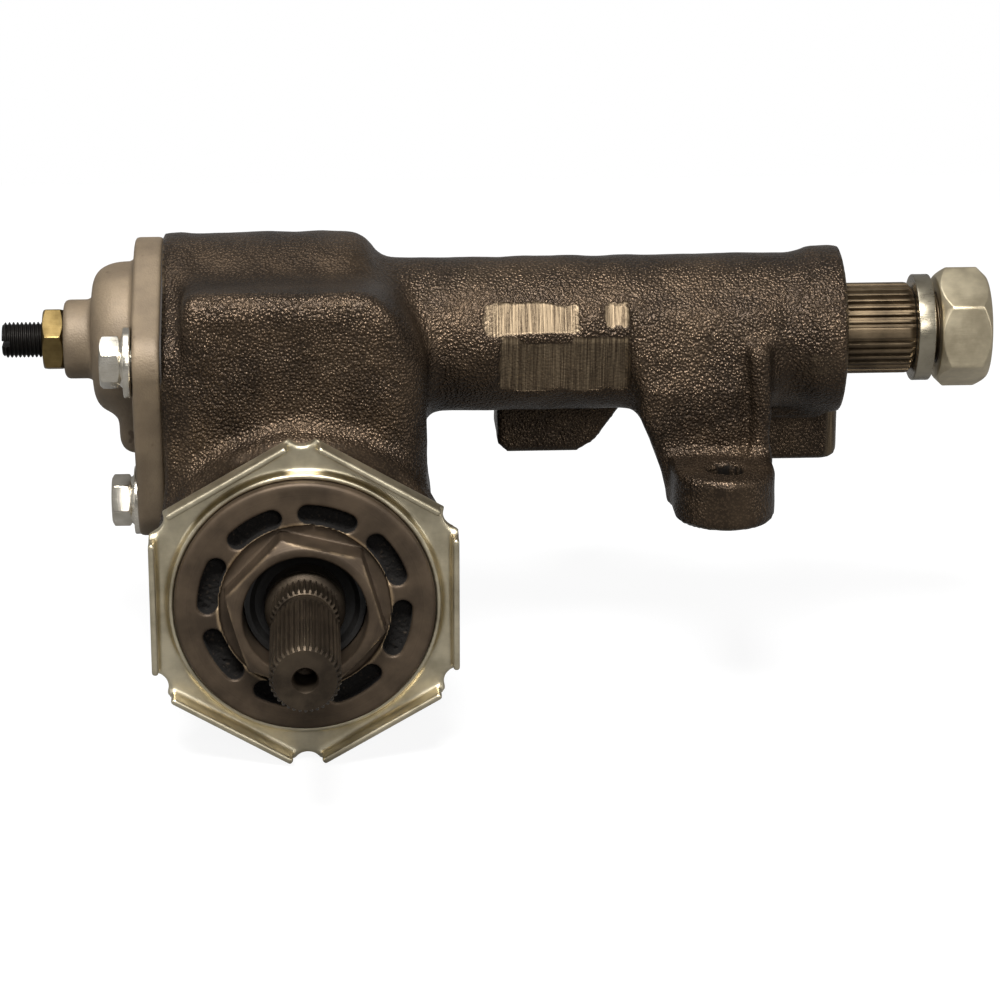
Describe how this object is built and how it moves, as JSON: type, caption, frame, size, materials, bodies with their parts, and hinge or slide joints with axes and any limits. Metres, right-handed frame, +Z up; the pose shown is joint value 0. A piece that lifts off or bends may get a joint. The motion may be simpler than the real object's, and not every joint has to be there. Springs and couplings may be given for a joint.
{
  "type": "steering gearbox",
  "caption": "Manual recirculating-ball steering gearbox with a cast housing, splined input worm, toothed sector shaft and splined pitman end with its nut.",
  "frame": {"origin": "centre of the front frame bolt hole at the pad face", "axes": "+X along the sector shaft towards the pitman end, +Y along the worm away from the input shaft, +Z up from the frame pads"},
  "size_m": [0.308, 0.2137, 0.1457],
  "materials": {
    "cast_iron": "rough cast",
    "cast_aluminium": "sand cast",
    "gasket": "pressed fibre",
    "zinc_steel": "bright zinc",
    "bronze": "turned",
    "black_steel": "black oxide",
    "ground_steel": "ground",
    "yellow_zinc_steel": "yellow zinc",
    "shaft_steel": "machined and oiled",
    "seal_rubber": "moulded",
    "worm_steel": "machined and phosphated",
    "machined_iron": "turned face",
    "stamped_zinc": "dull zinc",
    "brass_cage": "pressed",
    "bearing_steel": "polished"
  },
  "bodies": {
    "housing": {"housing": "cast_iron", "side_cover": "cast_aluminium", "side_cover_gasket": "gasket", "side_cover_bolts": "zinc_steel", "side_cover_lock_washers": "zinc_steel", "side_cover_bushing": "bronze", "lash_adjuster_screw": "black_steel", "lash_adjuster_shim": "ground_steel", "lash_adjuster_locknut": "yellow_zinc_steel", "sector_shaft_bushings": "bronze", "sector_shaft_seal": "seal_rubber", "worm_shaft_seal": "seal_rubber", "worm_bearing_adjuster": "machined_iron", "adjuster_locknut": "stamped_zinc", "upper_bearing_cup": "ground_steel", "lower_bearing_cup": "ground_steel"},
    "sector": {"sector_shaft": "shaft_steel", "pitman_lock_washer": "zinc_steel", "pitman_nut": "zinc_steel"},
    "ball_nut": {"ball_nut": "shaft_steel", "recirculating_balls": "bearing_steel", "ball_return_guides": "ground_steel", "return_guide_clamp": "ground_steel", "return_guide_screw": "ground_steel"},
    "worm": {"worm_shaft": "worm_steel"},
    "upper_cage": {"upper_bearing_cage": "brass_cage", "upper_bearing_balls": "bearing_steel"},
    "lower_cage": {"lower_bearing_cage": "brass_cage", "lower_bearing_balls": "bearing_steel"}
  },
  "joints": [
    {"name": "sector_turn", "type": "hinge", "parent": "housing", "child": "sector", "pos_m": [-0.129, 0.042, 0.048], "axis": [1, 0, 0], "range_deg": [-36, 36]},
    {"name": "ball_nut_travel", "type": "slide", "parent": "housing", "child": "ball_nut", "axis": [0, 1, 0], "range_m": [-0.024, 0.024]},
    {"name": "worm_spin", "type": "hinge", "parent": "housing", "child": "worm", "pos_m": [-0.129, 0.042, -0.0145], "axis": [0, 1, 0], "range_deg": [-866, 866]},
    {"name": "upper_cage_spin", "type": "hinge", "parent": "housing", "child": "upper_cage", "pos_m": [-0.129, 0.042, -0.0145], "axis": [0, 1, 0], "range_deg": [-382, 382]},
    {"name": "lower_cage_spin", "type": "hinge", "parent": "housing", "child": "lower_cage", "pos_m": [-0.129, 0.042, -0.0145], "axis": [0, 1, 0], "range_deg": [-382, 382]}
  ],
  "couplings": [
    {"joint": "ball_nut_travel", "follows": "sector_turn", "m_per_rad": 0.0381},
    {"joint": "worm_spin", "follows": "sector_turn", "ratio": -24},
    {"joint": "upper_cage_spin", "follows": "sector_turn", "ratio": -10.527},
    {"joint": "lower_cage_spin", "follows": "sector_turn", "ratio": -10.527}
  ]
}
